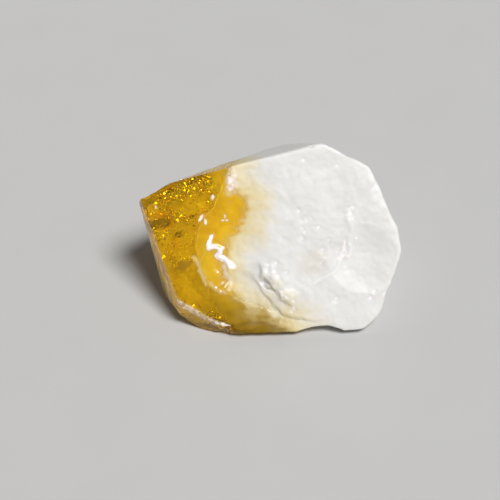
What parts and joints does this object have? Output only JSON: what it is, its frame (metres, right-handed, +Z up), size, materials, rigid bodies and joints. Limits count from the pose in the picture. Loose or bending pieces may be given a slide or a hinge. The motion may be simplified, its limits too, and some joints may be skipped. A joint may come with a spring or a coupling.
{
  "type": "citrine crystal point",
  "caption": "Broken-off quartz crystal point, clear golden amber at the faceted tip and milky white at the fractured root, lying on a flat break.",
  "frame": {"origin": "middle of the bounding box's underside, on the flat break that the crystal rests on", "axes": "+Z up, X along the crystal with its apex at -X and its broken root at +X, -Y towards the viewer of the large front face"},
  "size_m": [0.0646, 0.049, 0.0375],
  "materials": {
    "citrine_quartz": "natural citrine quartz: clear golden amber with a vitreous lustre at the tip, turning cream and milky white towards the root, with frosted worn edges and shell-shaped breaks"
  },
  "bodies": {
    "root": {"citrine_point": "citrine_quartz"}
  },
  "joints": []
}
